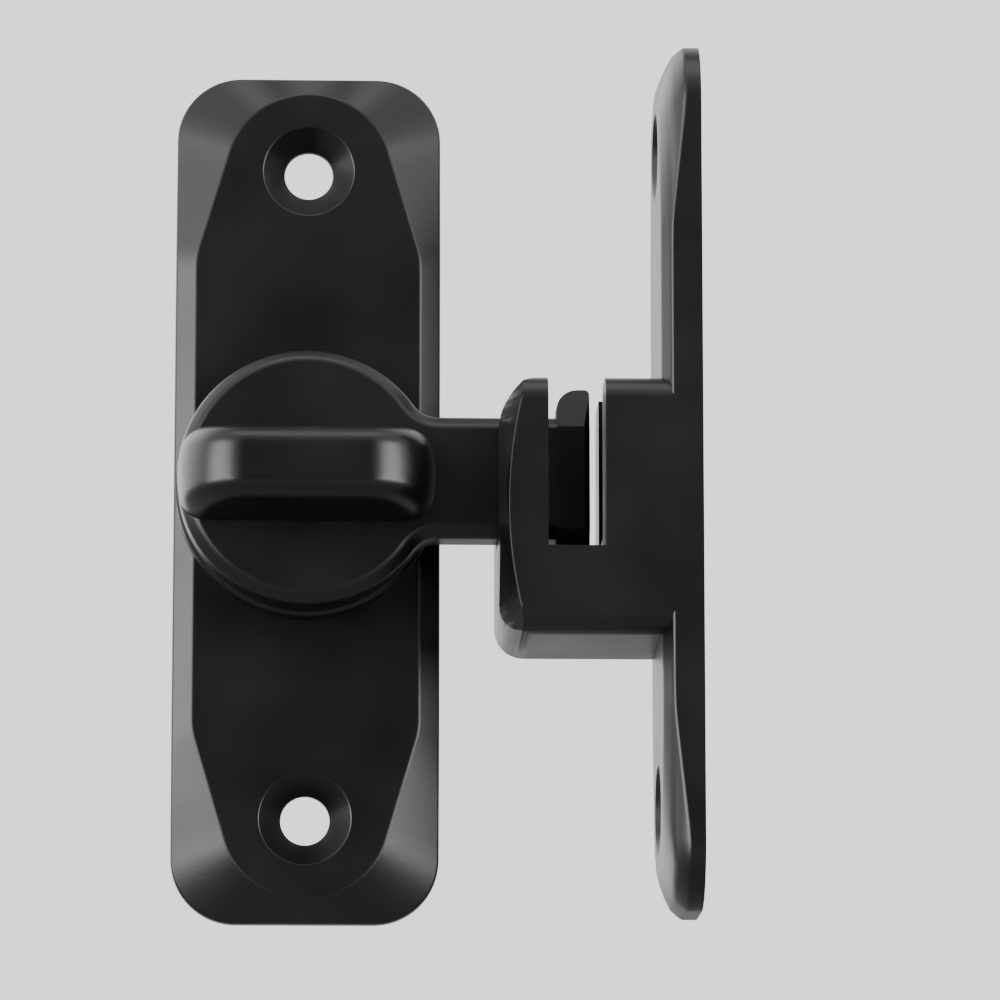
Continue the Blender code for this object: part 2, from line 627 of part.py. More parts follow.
def main():
    """Build every piece."""
    clear_scene()
    plate_black = principled("black_coated_zinc_plate", (0.016, 0.016, 0.017), 0.42, 0.0)
    toggle_black = principled("black_coated_zinc_toggle", (0.014, 0.014, 0.015), 0.38, 0.0)
    strike_black = principled("black_coated_zinc_strike", (0.016, 0.016, 0.017), 0.42, 0.0)
    acetal = principled("natural_acetal", (0.78, 0.77, 0.72), 0.45, 0.0)
    zinc_steel = principled("zinc_plated_steel", (0.62, 0.64, 0.66), 0.32, 1.0)
    spring_steel = principled("spring_steel", (0.36, 0.35, 0.34), 0.35, 1.0)
    screw_steel = principled("plated_screw_steel", (0.58, 0.60, 0.62), 0.28, 1.0)
    keyed_steel = principled("plated_washer_steel", (0.60, 0.61, 0.62), 0.34, 1.0)
    make_base_plate(plate_black)
    make_pivot_bush(acetal)
    make_backing_washer(zinc_steel)
    make_wave_washer(spring_steel)
    make_keyed_washer(keyed_steel)
    make_retaining_screw(screw_steel)
    make_toggle(toggle_black)
    make_strike(strike_black)


main()
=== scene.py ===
"""Looks of a toggle bolt latch: three black die castings and the hardware of one pivot.

World frame in metres: +X runs from the pivot towards the strike, +Y into the
door and +Z up.  The door's face is Y = 0.  Sizes along the pivot are given as
a distance out from the door's face, which is minus Y.
"""

import math

import bmesh
import bpy
from mathutils import Matrix, Vector


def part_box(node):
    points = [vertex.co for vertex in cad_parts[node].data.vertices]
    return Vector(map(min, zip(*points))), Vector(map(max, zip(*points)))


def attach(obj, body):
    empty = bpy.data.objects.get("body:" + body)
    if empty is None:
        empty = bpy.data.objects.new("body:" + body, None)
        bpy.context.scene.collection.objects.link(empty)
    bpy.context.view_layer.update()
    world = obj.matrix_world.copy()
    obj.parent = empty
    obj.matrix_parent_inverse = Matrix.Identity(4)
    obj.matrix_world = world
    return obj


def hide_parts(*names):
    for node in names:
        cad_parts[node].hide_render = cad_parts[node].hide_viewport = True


bl_info = {
    "name": "Toggle bolt latch",
    "version": (1, 0, 0),
    "blender": (4, 5, 0),
    "location": "3D View > Sidebar > Latch",
    "description": "Builds the castings, pivot hardware and finishes of a toggle bolt latch",
    "category": "Add Mesh",
}

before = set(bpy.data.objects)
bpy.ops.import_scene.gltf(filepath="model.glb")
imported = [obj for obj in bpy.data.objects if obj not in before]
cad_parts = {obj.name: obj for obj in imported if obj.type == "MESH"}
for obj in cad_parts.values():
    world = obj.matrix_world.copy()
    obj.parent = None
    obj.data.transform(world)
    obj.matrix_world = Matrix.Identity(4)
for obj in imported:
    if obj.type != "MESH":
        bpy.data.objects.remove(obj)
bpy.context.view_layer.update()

MM = 0.001
FINE = 0.01 * MM              # how close two coordinates are that count as one
UPRIGHT = 0.01                # how little an upright face's normal leans
OVERRUN = 1.0 * MM            # how far a cutter runs past the face that it opens
SINK = 0.4 * MM               # how far one lump is sunk into the next before they are joined
RUNNING_GAP = 0.3 * MM        # round the spigot, and between the hub and the bush's flange

# Softness of the small edges.
COUNTERSINK_LIP = 0.07 * MM   # where a countersink breaks the land
SEAT_CORNER = 0.12 * MM       # corners of the seat's chamfer
BORE_CORNER = 0.1 * MM        # corners along the bush's bore
CAST_FILLET = 0.4 * MM        # inside corners of the hollow backs and the pocket
EAR_OUTER_TIP = 0.6 * MM      # an ear's tip, on the side away from the pivot
HEAD_CORNER = 0.1 * MM        # the hammer head's long corners
HUB_BACK_EDGE = 0.25 * MM     # round the back of hub and arm
SPIGOT_SHOULDER = 0.2 * MM    # rim of the spigot's end

# How finely curves are divided.
ROUND_STEPS = 128             # facets round a hub-sized circle
HOLE_STEPS = 64               # facets round a hole, the spigot or the screw
ROOT_STEPS = 14               # facets along the fillet between hub and arm
GRIP_STEPS = 28               # facets along a quarter of the grip's arch
GRIP_CUTS = 9                 # loops along the grip's crown
KNEE_STEPS = 8                # facets round a land's knee
END_STEPS = 28                # facets round half of a land's end
LAND_STEP = 1.0 * MM          # longest run between two points of a land's outline
BORDER_STEPS = 5              # loops across a border that bulges
FANNING_ROUNDS = 10           # rounds of averaging that fan out the border's directions
HALVING_ROUNDS = 48           # rounds of halving that find a plate's edge
SMOOTH_ANGLE = 32.0           # degrees between two faces up to which they are shaded as one

PLATES_BODY = "plates"
TOGGLE_BODY = "toggle"


# ------------------------------------------------------- places from the frame

def span(node, axis):
    """Lowest and highest coordinate of a node along an axis, 0 to 2."""
    low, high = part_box(node)
    return low[axis], high[axis]


def size_of(node, axis):
    """Length of a node's box along an axis."""
    low, high = span(node, axis)
    return high - low


def out_from_door(node):
    """How near to and how far from the door's face a node reaches."""
    low, high = span(node, 1)
    return -high, -low


BASE_WIDTH = size_of("base_plate", 0)
PLATE_LENGTH = size_of("base_plate", 2)
SEAT_TOP = out_from_door("base_plate")[1]
STRIKE_FACE = span("strike_plate", 0)[1]
STRIKE_NEAR = out_from_door("strike_plate")[1]
STRIKE_WIDTH = size_of("strike_plate", 1)
STRIKE_FAR = STRIKE_NEAR - STRIKE_WIDTH
STRIKE_CENTRE_Y = -(STRIKE_NEAR + STRIKE_FAR) / 2
STRIKE_MIDDLE = sum(span("strike_plate", 2)) / 2
BOSS_START = span("strike_plate", 0)[0]
HUB_RADIUS = size_of("toggle", 2) / 2
ARM_REACH = span("toggle", 0)[1]
GRIP_TOP = out_from_door("toggle")[1]
SPIGOT_END = out_from_door("toggle")[0]
FLANGE_TOP = out_from_door("pivot_bush")[1]
FLANGE_RADIUS = size_of("pivot_bush", 0) / 2
POCKET_ROOF = out_from_door("pivot_bush")[0]
HUB_BACK = FLANGE_TOP + RUNNING_GAP


# ------------------------------------------------------------- user settings

def length(label, description, default):
    """A length that the sidebar shows in the scene's unit."""
    return bpy.props.FloatProperty(
        name=label, description=description, default=default, min=0.0, unit="LENGTH", precision=5,
    )


def fraction(label, description, default):
    """A plain number between 0 and 1."""
    return bpy.props.FloatProperty(name=label, description=description, default=default, min=0.0, max=1.0)


def hex_colour(label, description, default):
    """A colour, kept as an sRGB hex value."""
    return bpy.props.StringProperty(name=label, description=description, default=default)


class LatchPlates(bpy.types.PropertyGroup):
    """Sizes that the door plate and the strike's plate have in common."""

    corner: length("Corner", "Radius of a plate's corners seen from the front", 7.3 * MM)
    rim_middle: length("Rim, middle", "Height of a plate's edge along its straight sides", 3.4 * MM)
    rim_end: length("Rim, end", "Height of a plate's edge round its ends", 1.7 * MM)
    knee: length("Knee", "From a plate's centre to where its land narrows", 27.0 * MM)
    knee_radius: length("Knee radius", "Rounding of the land where it narrows", 8.0 * MM)
    rim_edge: length("Rim edge", "Width of the soft edge between rim and slope", 0.28 * MM)
    hollow_depth: length("Hollow", "Depth of the hollow in a plate's back", 1.5 * MM)
    hollow_wall: length("Hollow wall", "Width of the flat rim round the hollow", 2.4 * MM)
    screw_inset: length("Screw inset", "From a screw hole's axis to the plate's end", 11.5 * MM)
    screw_hole: length("Screw hole", "Diameter of a screw hole", 5.5 * MM)
    countersink: length("Countersink", "Diameter of a countersink at the land", 10.3 * MM)


class LatchBase(bpy.types.PropertyGroup):
    """Sizes of the door plate alone."""

    thickness: length("Thickness", "Thickness of the door plate at its land", 4.7 * MM)
    land_inset: length("Land inset", "From the land's side to the plate's side", 2.3 * MM)
    narrowing: length("Narrowing", "The land's half-width less its end's radius", 3.3 * MM)
    end_inset: length("End inset", "From the land's end to the plate's end", 2.5 * MM)
    land_edge: length("Land edge", "Width of the soft edge round the land", 0.2 * MM)
    crown: fraction("Crown", "How far the border bulges at the plate's ends", 0.0)
    seat_step: length("Seat step", "How far the seat stands out round the hub", 0.3 * MM)
    seat_edge: length("Seat edge", "Chamfer on the seat's rim", 0.4 * MM)
    web_bore: length("Bore", "Diameter of the bore for the bush", 13.0 * MM)
    pocket: length("Pocket", "Diameter of the pocket behind the web", 22.0 * MM)
    flange_sunk: length("Flange sunk", "How far the bush's flange sits below the seat's rim", 0.3 * MM)
    flange_gap: length("Flange gap", "Running gap round and under the bush's flange", 0.3 * MM)


class LatchToggle(bpy.types.PropertyGroup):
    """Sizes of the turning casting."""

    thickness: length("Thickness", "Thickness of the hub and the arm", 5.7 * MM)
    chamfer: length("Chamfer", "Chamfer round the front of hub and arm", 1.2 * MM)
    end_chamfer: length("End chamfer", "Chamfer on the front of the arm's end", 0.6 * MM)
    edge: length("Edge", "Softness of the casting's edges", 0.42 * MM)
    arm_height: length("Arm height", "Height of the arm", 13.7 * MM)
    root_radius: length("Root radius", "Fillet between the hub and the arm", 3.5 * MM)
    head_length: length("Head length", "Length of the hammer head along the arm", 3.7 * MM)
    ear: length("Ear", "How far each ear stands above or below the arm", 3.25 * MM)
    ear_tip: length("Ear tip", "Thickness of an ear at its tip", 2.4 * MM)
    ear_round: length("Ear round", "Rounding of an ear's inner corner", 2.4 * MM)
    grip_root: length("Grip root", "Thickness of the grip where it leaves the hub", 10.4 * MM)
    grip_crown: length("Grip crown", "Thickness of the grip at its crown", 7.7 * MM)
    grip_flat: length("Grip flat", "Straight part of the grip's crown", 13.2 * MM)
    grip_edge: length("Grip edge", "Rounding between the grip's crown and sides", 2.5 * MM)
    grip_setback: length("Grip setback", "From the hub's rim to each end of the grip", 0.1 * MM)
    spigot: length("Spigot", "Diameter of the spigot in the bush", 10.0 * MM)
    key: length("Key", "Diameter of the spigot's end, before its flats", 8.0 * MM)
    key_flats: length("Key flats", "Distance across the flats of the spigot's end", 6.4 * MM)
    key_shoulder: length("Shoulder", "From the door's face to the spigot's shoulder", 3.0 * MM)
    screw_bore: length("Screw bore", "Diameter of the bore for the screw", 4.6 * MM)


class LatchStrike(bpy.types.PropertyGroup):
    """Sizes of the strike."""

    thickness: length("Thickness", "Thickness of the strike's plate at its land", 4.5 * MM)
    land_inset: length("Land inset", "From the land's side to the plate's side", 2.5 * MM)
    narrowing: length("Narrowing", "The land's half-width less its end's radius", 1.8 * MM)
    end_inset: length("End inset", "From the land's end to the plate's end", 4.2 * MM)
    land_edge: length("Land edge", "Width of the soft edge round the land", 0.3 * MM)
    crown: fraction("Crown", "How far the border bulges at the plate's ends", 0.55)
    boss_top: length("Boss top", "Top of the boss above the pivot", 9.9 * MM)
    boss_bottom: length("Boss bottom", "Bottom of the boss below the pivot", 18.7 * MM)
    top_corner: length("Top corner", "Radius of the boss's free upper corner", 4.8 * MM)
    bottom_corner: length("Bottom corner", "Radius of the boss's free lower corner", 3.8 * MM)
    edge_radius: length("Edge radius", "Rounding along the boss's top and bottom", 2.8 * MM)
    end_arc: length("End arc", "Radius of the arc that the boss's end makes with its front", 50.0 * MM)
    relief_depth: length("Relief depth", "How far back the relief on the boss's end runs", 7.0 * MM)
    relief_fall: length("Relief fall", "How much the relief takes off over its depth", 2.2 * MM)
    crease: length("Crease", "Softness of the crease between relief and front", 0.24 * MM)
    crease_inset: length("Crease inset", "From the boss's end to the middle of the crease", 0.85 * MM)
    slot_gap: length("Slot gap", "From the hammer head to each side of the slot", 1.3 * MM)
    channel_gap: length("Channel gap", "From the arm to the channel's walls", 1.4 * MM)
    sill_gap: length("Sill gap", "From the arm to the sill under it", 0.4 * MM)
    floor_lift: length("Floor lift", "Slot's floor above the lower ear's tip", 0.9 * MM)
    ear_gap: length("Ear gap", "Under the lower ear in the channel", 0.8 * MM)
    pocket: length("Pocket", "Length of the channel beyond the slot", 4.0 * MM)
    opening: length("Opening", "How far the slot's and channel's cuts run on above the boss", 4.0 * MM)


class LatchFinish(bpy.types.PropertyGroup):
    """Colours of the finishes, as sRGB hex values."""

    coat: hex_colour("Black coat", "Satin black coat on the castings", "#070708")
    coat_high: hex_colour("Black coat, high", "Where the coat lies thin", "#0D0D0E")
    bare_zinc: hex_colour("Zinc", "Bright zinc plating on steel", "#C9CDD0")
    bare_zinc_dull: hex_colour("Zinc, dull", "Zinc plating where it has dulled", "#A9ADB2")
    spring: hex_colour("Spring steel", "Oiled spring steel", "#77736E")
    spring_blue: hex_colour("Spring steel, tempered", "Temper colour on the spring steel", "#5A5B66")
    acetal: hex_colour("Acetal", "Natural white acetal", "#E9E7DD")
    floor: hex_colour("Floor", "Pale studio floor", "#E4E4E2")


# ---------------------------------------------------------------- materials

def linear(hex_value):
    """Linear RGBA from an sRGB hex value such as #171718."""
    channels = [int(hex_value[at:at + 2], 16) / 255 for at in (1, 3, 5)]
    toned = [c / 12.92 if c <= 0.04045 else ((c + 0.055) / 1.055) ** 2.4 for c in channels]
    return (*toned, 1.0)


def add_node(tree, kind, settings=None, values=None, links=None):
    """Add a node: its settings, its input values, and links from other nodes' outputs."""
    node = tree.nodes.new(kind)
    for name, value in (settings or {}).items():
        setattr(node, name, value)
    for name, value in (values or {}).items():
        node.inputs[name].default_value = value
    for name, source in (links or {}).items():
        tree.links.new(source, node.inputs[name])
    return node


def principled(name, values):
    """A node material with its shader's constant values set; returns material, tree, shader."""
    material = bpy.data.materials.new(name)
    material.use_nodes = True
    tree = material.node_tree
    shader = tree.nodes["Principled BSDF"]
    for socket, value in values.items():
        shader.inputs[socket].default_value = value
    return material, tree, shader


def per_metre(millimetres):
    """Noise scale whose features are about this many millimetres apart."""
    return 1.0 / (millimetres * MM)


def pattern(tree, millimetres, detail=2.0, stretch=(1.0, 1.0, 1.0)):
    """Noise over Object coordinates, its features this many millimetres apart."""
    place = add_node(tree, "ShaderNodeTexCoord")
    mapped = add_node(
        tree, "ShaderNodeMapping", values={"Scale": stretch}, links={"Vector": place.outputs["Object"]},
    )
    return add_node(
        tree, "ShaderNodeTexNoise", values={"Scale": per_metre(millimetres), "Detail": detail},
        links={"Vector": mapped.outputs["Vector"]},
    )


def spread(tree, source, low, high):
    """Map a noise value's useful middle to a range of numbers."""
    return add_node(
        tree, "ShaderNodeMapRange", values={"From Min": 0.3, "From Max": 0.7, "To Min": low, "To Max": high},
        links={"Value": source},
    ).outputs["Result"]


def tint(tree, shader, source, first, second):
    """Drive the base colour between two colours by a noise value."""
    mix = add_node(tree, "ShaderNodeMix", {"data_type": "RGBA"})
    tree.links.new(spread(tree, source, 0.0, 1.0), mix.inputs["Factor"])
    mix.inputs["A"].default_value = linear(first)
    mix.inputs["B"].default_value = linear(second)
    tree.links.new(mix.outputs["Result"], shader.inputs["Base Color"])


def relief(tree, shader, layers):
    """Stack bump layers of (noise value, depth in millimetres) on to the shader."""
    below = None
    for height, depth in layers:
        bump = add_node(
            tree, "ShaderNodeBump", values={"Strength": 1.0, "Distance": depth * MM},
            links={"Height": height},
        )
        if below:
            tree.links.new(below, bump.inputs["Normal"])
        below = bump.outputs["Normal"]
    tree.links.new(below, shader.inputs["Normal"])


def satin_black_coat(name, finish):
    """Baked satin black coat over die-cast zinc.

    The pigment is nearly black, so what the eye sees is the resin's own soft
    sheen (IOR 1.5).  The coat flows into a faint orange peel about half a
    millimetre across, and lies a little rougher in patches.
    """
    material, tree, shader = principled(name, {"Metallic": 0.0, "IOR": 1.5})
    patches = pattern(tree, 14.0, detail=4.0).outputs["Fac"]
    peel = pattern(tree, 0.55, detail=1.0).outputs["Fac"]
    grain = pattern(tree, 0.16, detail=2.0).outputs["Fac"]
    tint(tree, shader, patches, finish.coat, finish.coat_high)
    tree.links.new(spread(tree, patches, 0.28, 0.35), shader.inputs["Roughness"])
    relief(tree, shader, ((peel, 0.006), (grain, 0.0025)))
    return material


def zinc_plated(name, finish, roughness):
    """Bright zinc plating on pressed steel: a cool metal with a faint dull bloom."""
    material, tree, shader = principled(name, {"Metallic": 1.0})
    bloom = pattern(tree, 2.5, detail=5.0).outputs["Fac"]
    scratches = pattern(tree, 0.12, detail=2.0, stretch=(1.0, 1.0, 0.12)).outputs["Fac"]
    tint(tree, shader, bloom, finish.bare_zinc, finish.bare_zinc_dull)
    tree.links.new(spread(tree, bloom, roughness - 0.06, roughness + 0.1), shader.inputs["Roughness"])
    relief(tree, shader, ((scratches, 0.002),))
    return material


def tempered_spring(name, finish):
    """Oiled spring steel: darker than plating, with a grey-blue temper bloom."""
    material, tree, shader = principled(name, {"Metallic": 1.0})
    bloom = pattern(tree, 3.5, detail=4.0).outputs["Fac"]
    rolled = pattern(tree, 0.1, detail=2.0, stretch=(0.1, 1.0, 1.0)).outputs["Fac"]
    tint(tree, shader, bloom, finish.spring, finish.spring_blue)
    tree.links.new(spread(tree, bloom, 0.29, 0.42), shader.inputs["Roughness"])
    relief(tree, shader, ((rolled, 0.002),))
    return material


def turned_acetal(name, finish):
    """Natural acetal: a waxy white plastic that light enters a little way."""
    material, tree, shader = principled(
        name,
        {
            "Metallic": 0.0,
            "IOR": 1.48,
            "Base Color": linear(finish.acetal),
            "Subsurface Weight": 0.25,
            "Subsurface Scale": 0.6 * MM,
        },
    )
    wax = pattern(tree, 1.8, detail=3.0).outputs["Fac"]
    tree.links.new(spread(tree, wax, 0.38, 0.5), shader.inputs["Roughness"])
    relief(tree, shader, ((wax, 0.004),))
    return material


# -------------------------------------------------------------- mesh helpers

def arc(centre, radius, start, end, steps):
    """Points on an arc, from start to end in degrees, both ends included."""
    points = []
    for step in range(steps + 1):
        angle = math.radians(start + (end - start) * step / steps)
        points.append((centre[0] + radius * math.cos(angle), centre[1] + radius * math.sin(angle)))
    return points


def softened(points, radii, steps=4, closed=True):
    """Round the corners of an outline; radii is one number or one for each corner."""
    count = len(points)
    if not hasattr(radii, "__len__"):
        radii = [radii] * count
    outline = []
    for index, point in enumerate(points):
        at_end = not closed and index in (0, count - 1)
        if at_end or radii[index] == 0:
            outline.append(tuple(point))
            continue
        corner = Vector(point)
        before, after = Vector(points[index - 1]) - corner, Vector(points[(index + 1) % count]) - corner
        opening = before.angle(after)
        tangent = radii[index] / math.tan(opening / 2)
        start = corner + before.normalized() * tangent
        middle = corner + (before.normalized() + after.normalized()).normalized() * (
            radii[index] / math.sin(opening / 2)
        )
        first = start - middle
        turn = (math.pi - opening) * (1 if before.cross(after) < 0 else -1)
        for step in range(steps + 1):
            spoke = Matrix.Rotation(turn * step / steps, 2) @ first
            outline.append(tuple(middle + spoke))
    return outline


def rectangle(half_a, half_b):
    """Corners of a rectangle about the origin, anticlockwise from its lower right."""
    return [(half_a, -half_b), (half_a, half_b), (-half_a, half_b), (-half_a, -half_b)]


# Takes (across, up, out from the door) to the world's axes.
ON_DOOR = Matrix(((1, 0, 0, 0), (0, 0, -1, 0), (0, 1, 0, 0), (0, 0, 0, 1)))


def wire_loop(bm, points):
    """Add a closed loop of edges through the points."""
    verts = [bm.verts.new(point) for point in points]
    return [bm.edges.new((verts[index - 1], vert)) for index, vert in enumerate(verts)]


def prism(outline, low, high, place=ON_DOOR):
    """Extrude a flat outline of (a, b) points from low to high, then place it."""
    bm = bmesh.new()
    edges = wire_loop(bm, [(a, b, low) for a, b in outline])
    face = bmesh.ops.contextual_create(bm, geom=edges)["faces"]
    grown = bmesh.ops.extrude_face_region(bm, geom=face)["geom"]
    top = [item for item in grown if isinstance(item, bmesh.types.BMVert)]
    bmesh.ops.translate(bm, vec=(0, 0, high - low), verts=top)
    bmesh.ops.transform(bm, matrix=place, verts=bm.verts)
    bmesh.ops.recalc_face_normals(bm, faces=bm.faces)
    return bm


def turned(profile, place=ON_DOOR, steps=ROUND_STEPS):
    """Spin a profile of (radius, height) points round the height axis into a closed solid."""
    bm = bmesh.new()
    verts = [bm.verts.new((radius, 0, height)) for radius, height in profile]
    edges = [bm.edges.new(pair) for pair in zip(verts, verts[1:])]
    if profile[0][0] > 0 or profile[-1][0] > 0:
        edges.append(bm.edges.new((verts[-1], verts[0])))
    bmesh.ops.spin(
        bm, geom=verts + edges, cent=(0, 0, 0), axis=(0, 0, 1), angle=math.tau, steps=steps, use_merge=True,
    )
    bmesh.ops.remove_doubles(bm, verts=bm.verts, dist=FINE / 10)
    bmesh.ops.transform(bm, matrix=place, verts=bm.verts)
    bmesh.ops.recalc_face_normals(bm, faces=bm.faces)
    return bm


def block(low, high):
    """A box between two corners."""
    bm = bmesh.new()
    bmesh.ops.create_cube(bm, size=1.0)
    low, high = Vector(low), Vector(high)
    bmesh.ops.scale(bm, vec=high - low, verts=bm.verts)
    bmesh.ops.translate(bm, vec=(low + high) / 2, verts=bm.verts)
    return bm


def bevel(bm, chosen, width, segments):
    """Chamfer, or round in segments, the edges for which chosen(edge) is true."""
    edges = [edge for edge in bm.edges if chosen(edge)]
    if not edges:
        raise ValueError("no edge was chosen to bevel")
    bmesh.ops.bevel(
        bm, geom=edges, offset=width, offset_type="OFFSET", segments=segments, profile=0.5,
        affect="EDGES", clamp_overlap=False, material=-1,
    )


def temporary(bm):
    """A linked object that holds a bmesh for as long as a Boolean needs it."""
    mesh = bpy.data.meshes.new("temporary")
    bm.to_mesh(mesh)
    bm.free()
    obj = bpy.data.objects.new("temporary", mesh)
    bpy.context.collection.objects.link(obj)
    return obj


def combined(target, tools, operation):
    """Join the tools to the target, or cut them away, and give the result as a bmesh."""
    base = temporary(target)
    others = [temporary(tool) for tool in tools]
    for other in others:
        modifier = base.modifiers.new("step", "BOOLEAN")
        modifier.operation = operation
        modifier.object = other
        modifier.solver = "EXACT"
    result = bmesh.new()
    result.from_object(base, bpy.context.evaluated_depsgraph_get())
    for obj in (base, *others):
        mesh = obj.data
        bpy.data.objects.remove(obj)
        bpy.data.meshes.remove(mesh)
    return result


def all_near(edge, axis, value):
    """Whether both ends of an edge have this coordinate along the axis."""
    return all(abs(vert.co[axis] - value) < FINE for vert in edge.verts)


def sharp(edge, degrees):
    """Whether an edge turns by more than this many degrees."""
    return len(edge.link_faces) == 2 and edge.calc_face_angle(0.0) > math.radians(degrees)


def finished(name, bm, material, body, node):
    """Make the piece that stands for a CAD node: smooth, weighted normals, riding its body."""
    bmesh.ops.remove_doubles(bm, verts=bm.verts, dist=FINE / 10)
    mesh = bpy.data.meshes.new(name)
    bm.to_mesh(mesh)
    bm.free()
    mesh.shade_smooth()
    mesh.set_sharp_from_angle(angle=math.radians(SMOOTH_ANGLE))
    mesh.materials.append(material)
    piece = bpy.data.objects.new(name, mesh)
    bpy.context.collection.objects.link(piece)
    weighted = piece.modifiers.new("even_flats", "WEIGHTED_NORMAL")
    weighted.keep_sharp = True
    weighted.weight = 100
    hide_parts(node)
    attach(piece, body)
    return piece


# --------------------------------------------------------- the plates' shape

def mirrored_twice(quarter):
    """Full outline from the quarter that runs from the side's middle to the end."""
    left = [(-a, b) for a, b in reversed(quarter[:-1])]
    half = quarter + left
    return half + [(a, -b) for a, b in reversed(half[1:-1])]


def evenly(points, step):
    """Add points on the straight runs of an open line, no further apart than a step."""
    line = [points[0]]
    for start, end in zip(points, points[1:]):
        parts = max(1, math.ceil(math.dist(start, end) / step))
        for part in range(1, parts + 1):
            share = part / parts
            line.append((start[0] + (end[0] - start[0]) * share, start[1] + (end[1] - start[1]) * share))
    return line


def land_quarter(plates, half_width, end, end_radius):
    """A quarter of the land: straight side, knee, taper and round end."""
    centre = end - end_radius
    reach = math.hypot(half_width, plates.knee - centre)
    taper = math.atan2(plates.knee - centre, half_width) + math.acos(end_radius / reach)
    knee_at = plates.knee - plates.knee_radius * math.tan(taper / 2)
    degrees = math.degrees(taper)
    points = [(half_width, 0.0)]
    points += arc((half_width - plates.knee_radius, knee_at), plates.knee_radius, 0, degrees, KNEE_STEPS)
    points += arc((0.0, centre), end_radius, degrees, 90, END_STEPS)
    return evenly(points, LAND_STEP)


def eased(value, softness=0.01):
    """A ramp held between 0 and 1, with soft corners."""
    def hinge(rise):
        """Zero below 0 and the rise itself above, with the corner softened."""
        return (rise + math.sqrt(rise * rise + softness)) / 2

    return 1 - hinge(1 - hinge(value))


def edge_beyond(plates, point, direction, width):
    """Where a line from the land along direction leaves the plate's outline."""
    near, far = 0.0, PLATE_LENGTH
    for _ in range(HALVING_ROUNDS):
        middle = (near + far) / 2
        across = abs(point[0] + direction[0] * middle) - width / 2 + plates.corner
        along = abs(point[1] + direction[1] * middle) - PLATE_LENGTH / 2 + plates.corner
        beyond = math.hypot(max(across, 0.0), max(along, 0.0)) + min(max(across, along), 0.0)
        if beyond > plates.corner:
            far = middle
        else:
            near = middle
    return (point[0] + direction[0] * near, point[1] + direction[1] * near)


def end_share(plates, along):
    """How far a place lies from the knee, 0, towards the plate's end, 1."""
    run = PLATE_LENGTH / 2 - plates.corner - plates.knee
    return eased((abs(along) - plates.knee) / run)


def plate_body(plates, own, width):
    """Solid plate: flat back, low edge, sloped border and raised land with soft edges."""
    half = width / 2 - own.land_inset
    land_end = PLATE_LENGTH / 2 - own.end_inset
    land = mirrored_twice(land_quarter(plates, half, land_end, half - own.narrowing))
    count = len(land)
    outward = []
    for index in range(count):
        run = (Vector(land[(index + 1) % count]) - Vector(land[index - 1])).normalized()
        outward.append(Vector((run.y, -run.x)))
    for _ in range(FANNING_ROUNDS):
        outward = [
            (outward[at - 1] + 2 * outward[at] + outward[(at + 1) % count]).normalized()
            for at in range(count)
        ]
    rim = [edge_beyond(plates, point, way, width) for point, way in zip(land, outward)]
    bm = bmesh.new()
    lower = back = wire_loop(bm, [(a, b, 0.0) for a, b in rim])
    steps = BORDER_STEPS if own.crown else 1
    for step in range(steps + 1):
        away = 1 - step / steps
        points = []
        for (a, b), (c, d) in zip(land, rim):
            fall = end_share(plates, d)
            rim_height = plates.rim_middle + (plates.rim_end - plates.rim_middle) * fall
            round_fall = 1 - math.sqrt(1 - away * away)
            drop = away + (round_fall - away) * own.crown * fall
            height = own.thickness + (rim_height - own.thickness) * drop
            points.append((a + (c - a) * away, b + (d - b) * away, height))
        upper = wire_loop(bm, points)
        bmesh.ops.bridge_loops(bm, edges=lower + upper)
        lower = upper
    bmesh.ops.contextual_create(bm, geom=back)
    bmesh.ops.contextual_create(bm, geom=upper)
    bmesh.ops.recalc_face_normals(bm, faces=bm.faces)
    bevel(bm, lambda item: all_near(item, 2, own.thickness) and sharp(item, 3), own.land_edge, 5)

    def on_rim(item):
        """Edges along the top of the plate's low wall."""
        low = all(FINE < vert.co.z < plates.rim_middle + FINE for vert in item.verts)
        on_wall = any(abs(face.normal.z) < UPRIGHT for face in item.link_faces)
        return low and sharp(item, 20) and on_wall

    bevel(bm, on_rim, plates.rim_edge, 4)
    return bm


def screw_cutter(plates, thickness, along):
    """Cutter for one countersunk hole, with a soft lip where it breaks the land."""
    hole, sink, lip = plates.screw_hole / 2, plates.countersink / 2, COUNTERSINK_LIP
    above, just_above = thickness + OVERRUN, thickness + lip / 20
    profile = [(0.0, above), (sink + 3 * lip, above), (sink + 3 * lip, just_above)]
    profile += [(sink + lip, just_above), (sink - lip, thickness - lip)]
    profile += [(hole, thickness - (sink - hole)), (hole, -OVERRUN), (0.0, -OVERRUN)]
    profile = softened(profile, [0, 0, 0, 3 * lip, 0, 1.5 * lip, 0, 0], closed=False)
    return turned(profile, Matrix.Translation((0, along, 0)), HOLE_STEPS)


def plate_cutters(plates, own, width):
    """The hollow in a plate's back, and its two screw holes."""
    corners = rectangle(width / 2 - plates.hollow_wall, PLATE_LENGTH / 2 - plates.hollow_wall)
    outline = softened(corners, plates.corner - plates.hollow_wall, 10)
    hollow = prism(outline, -OVERRUN, plates.hollow_depth, Matrix.Identity(4))
    bevel(hollow, lambda item: all_near(item, 2, plates.hollow_depth), CAST_FILLET, 3)
    reach = PLATE_LENGTH / 2 - plates.screw_inset
    return [hollow, *(screw_cutter(plates, own.thickness, along) for along in (reach, -reach))]


# ------------------------------------------------------------- the castings

